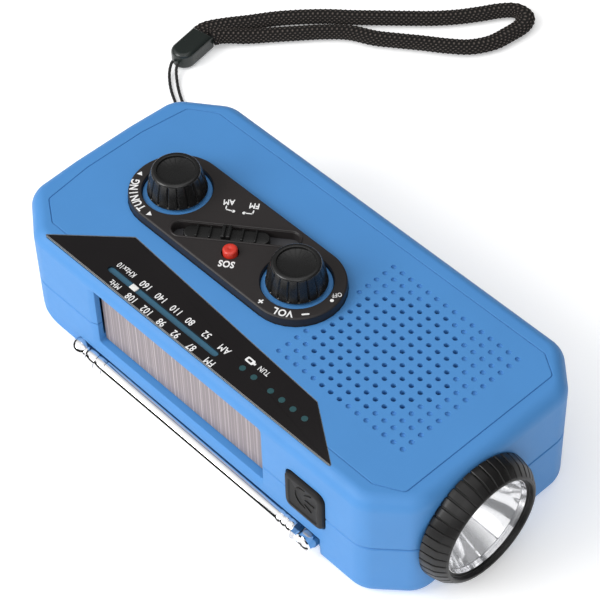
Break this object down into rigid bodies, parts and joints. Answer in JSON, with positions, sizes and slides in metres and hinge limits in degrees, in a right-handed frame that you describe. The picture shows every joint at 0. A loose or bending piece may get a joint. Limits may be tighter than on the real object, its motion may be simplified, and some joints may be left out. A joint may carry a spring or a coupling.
{
  "type": "emergency radio",
  "caption": "Hand-crank emergency radio lying on its back: blue case, control panel, tuning dial, speaker grille, solar cell, torch, telescopic antenna and wrist strap.",
  "frame": {"origin": "on the surface that the radio lies on, under the middle of its box without the wrist strap", "axes": "+X along the case towards the torch, -Y towards the solar cell and the antenna, +Z out of the control panel"},
  "size_m": [0.1654, 0.1569, 0.0392],
  "materials": {
    "case_blue": "satin moulded plastic",
    "panel_charcoal": "satin",
    "knob_black": "semi-gloss",
    "chrome": "polished",
    "steel": "plain",
    "button_red": "satin",
    "dial_gloss": "gloss",
    "pointer_white": "satin",
    "dial_teal": "matt",
    "cone_black": "matt paper",
    "magnet_grey": "matt",
    "solar_brown": "glossy cell under a clear film",
    "ring_black": "satin",
    "lens_clear": "clear",
    "led_clear": "clear",
    "button_rubber": "matt",
    "switch_grey": "satin",
    "gear_white": "satin",
    "board_green": "satin",
    "capacitor_cream": "satin",
    "battery_wrap": "satin film",
    "ferrite_black": "matt",
    "coil_copper": "enamelled wire",
    "cover_blue": "matt",
    "string_black": "thin cord",
    "bead_black": "smooth",
    "strap_black": "braided"
  },
  "bodies": {
    "radio": {"front_case": "case_blue", "rear_case": "case_blue", "control_panel": "panel_charcoal", "dial_window": "dial_gloss", "dial_backplate": "dial_teal", "speaker_frame": "steel", "speaker_cone": "cone_black", "speaker_magnet": "magnet_grey", "solar_cell": "solar_brown", "torch_switch": "switch_grey", "torch_ring": "ring_black", "torch_lens": "lens_clear", "torch_reflector": "chrome", "torch_led": "led_clear", "idler_axle": "steel", "generator_body": "steel", "battery_cell": "battery_wrap", "ferrite_rod": "ferrite_black", "ferrite_coil": "coil_copper", "main_board": "board_green", "tuning_capacitor": "capacitor_cream", "volume_pot": "steel", "band_switch": "switch_grey", "sos_switch": "switch_grey", "usb_a_socket": "steel", "micro_usb_socket": "steel", "lanyard_bar": "steel", "lanyard_string_a": "string_black", "lanyard_string_b": "string_black", "lanyard_bead": "bead_black", "wrist_strap": "strap_black", "case_screw_1": "steel", "case_screw_2": "steel", "case_screw_3": "steel", "case_screw_4": "steel"},
    "tuning": {"tuning_knob": "knob_black"},
    "pointer": {"dial_pointer": "pointer_white"},
    "volume": {"volume_knob": "knob_black"},
    "band": {"band_slider": "knob_black"},
    "sos": {"sos_button": "button_red"},
    "torch_key": {"torch_button": "button_rubber"},
    "antenna_fork": {"antenna_base": "chrome", "antenna_pin": "steel"},
    "antenna_1": {"antenna_tube_1": "chrome"},
    "antenna_2": {"antenna_tube_2": "chrome"},
    "antenna_3": {"antenna_tube_3": "chrome"},
    "antenna_4": {"antenna_tube_4": "chrome"},
    "antenna_5": {"antenna_rod": "chrome", "antenna_tip": "chrome"},
    "crank": {"crank_rotor": "case_blue", "crank_hinge_pin": "steel", "drive_gear": "gear_white"},
    "crank_lever": {"crank_arm": "case_blue"},
    "crank_grip": {"crank_knob": "knob_black"},
    "idler": {"idler_gear": "gear_white"},
    "generator": {"generator_pinion": "gear_white"},
    "cover": {"port_cover": "cover_blue"}
  },
  "joints": [
    {"name": "tuning_turn", "type": "hinge", "parent": "radio", "child": "tuning", "pos_m": [-0.03835, 0.00205, 0.036], "axis": [0, 0, 1], "range_deg": [-230, 56]},
    {"name": "pointer_slide", "type": "slide", "parent": "radio", "child": "pointer", "axis": [1, 0, 0], "range_m": [-0.0076, 0.0305]},
    {"name": "volume_turn", "type": "hinge", "parent": "radio", "child": "volume", "pos_m": [-0.00045, 0.00205, 0.036], "axis": [0, 0, 1], "range_deg": [-120, 150]},
    {"name": "band_slide", "type": "slide", "parent": "radio", "child": "band", "axis": [0.7934, 0.6088, 0], "range_m": [0, 0.0027]},
    {"name": "sos_press", "type": "slide", "parent": "radio", "child": "sos", "axis": [0, 0, -1], "range_m": [0, 0.0008], "stiffness_N_per_m": 400, "springref_m": -0.001},
    {"name": "torch_press", "type": "slide", "parent": "radio", "child": "torch_key", "axis": [0, 1, 0], "range_m": [0, 0.0008], "stiffness_N_per_m": 500, "springref_m": -0.001},
    {"name": "antenna_swivel", "type": "hinge", "parent": "radio", "child": "antenna_fork", "pos_m": [0.03405, -0.02825, 0.0049], "axis": [0, -1, 0], "range_deg": [0, 90]},
    {"name": "antenna_tilt", "type": "hinge", "parent": "antenna_fork", "child": "antenna_1", "pos_m": [0.03405, -0.02825, 0.0049], "axis": [0, 0, 1], "range_deg": [0, 90]},
    {"name": "antenna_pull_2", "type": "slide", "parent": "antenna_1", "child": "antenna_2", "axis": [-1, 0, 0], "range_m": [0, 0.05]},
    {"name": "antenna_pull_3", "type": "slide", "parent": "antenna_2", "child": "antenna_3", "axis": [-1, 0, 0], "range_m": [0, 0.05]},
    {"name": "antenna_pull_4", "type": "slide", "parent": "antenna_3", "child": "antenna_4", "axis": [-1, 0, 0], "range_m": [0, 0.05]},
    {"name": "antenna_pull_5", "type": "slide", "parent": "antenna_4", "child": "antenna_5", "axis": [-1, 0, 0], "range_m": [0, 0.05]},
    {"name": "crank_spin", "type": "hinge", "parent": "radio", "child": "crank", "pos_m": [-0.01895, 0.00205, 0.005], "axis": [0, 0, -1], "continuous": true},
    {"name": "crank_fold", "type": "hinge", "parent": "crank", "child": "crank_lever", "pos_m": [-0.03795, 0.00205, 0.002], "axis": [0, 1, 0], "range_deg": [0, 180]},
    {"name": "crank_knob_spin", "type": "hinge", "parent": "crank_lever", "child": "crank_grip", "pos_m": [-0.00795, 0.00205, 0.01], "axis": [0, 0, -1], "continuous": true},
    {"name": "idler_spin", "type": "hinge", "parent": "radio", "child": "idler", "pos_m": [-0.00085, 0.01055, 0.018], "axis": [0, 0, -1], "continuous": true},
    {"name": "generator_spin", "type": "hinge", "parent": "radio", "child": "generator", "pos_m": [-0.01895, 0.01905, 0.019], "axis": [0, 0, -1], "continuous": true},
    {"name": "cover_open", "type": "hinge", "parent": "radio", "child": "cover", "pos_m": [-0.0635, 0.00155, 0.00935], "axis": [0, -1, 0], "range_deg": [0, 90]}
  ],
  "couplings": [
    {"joint": "pointer_slide", "follows": "tuning_turn", "m_per_rad": -0.00616},
    {"joint": "idler_spin", "follows": "crank_spin", "ratio": -4},
    {"joint": "generator_spin", "follows": "crank_spin", "ratio": 16}
  ]
}
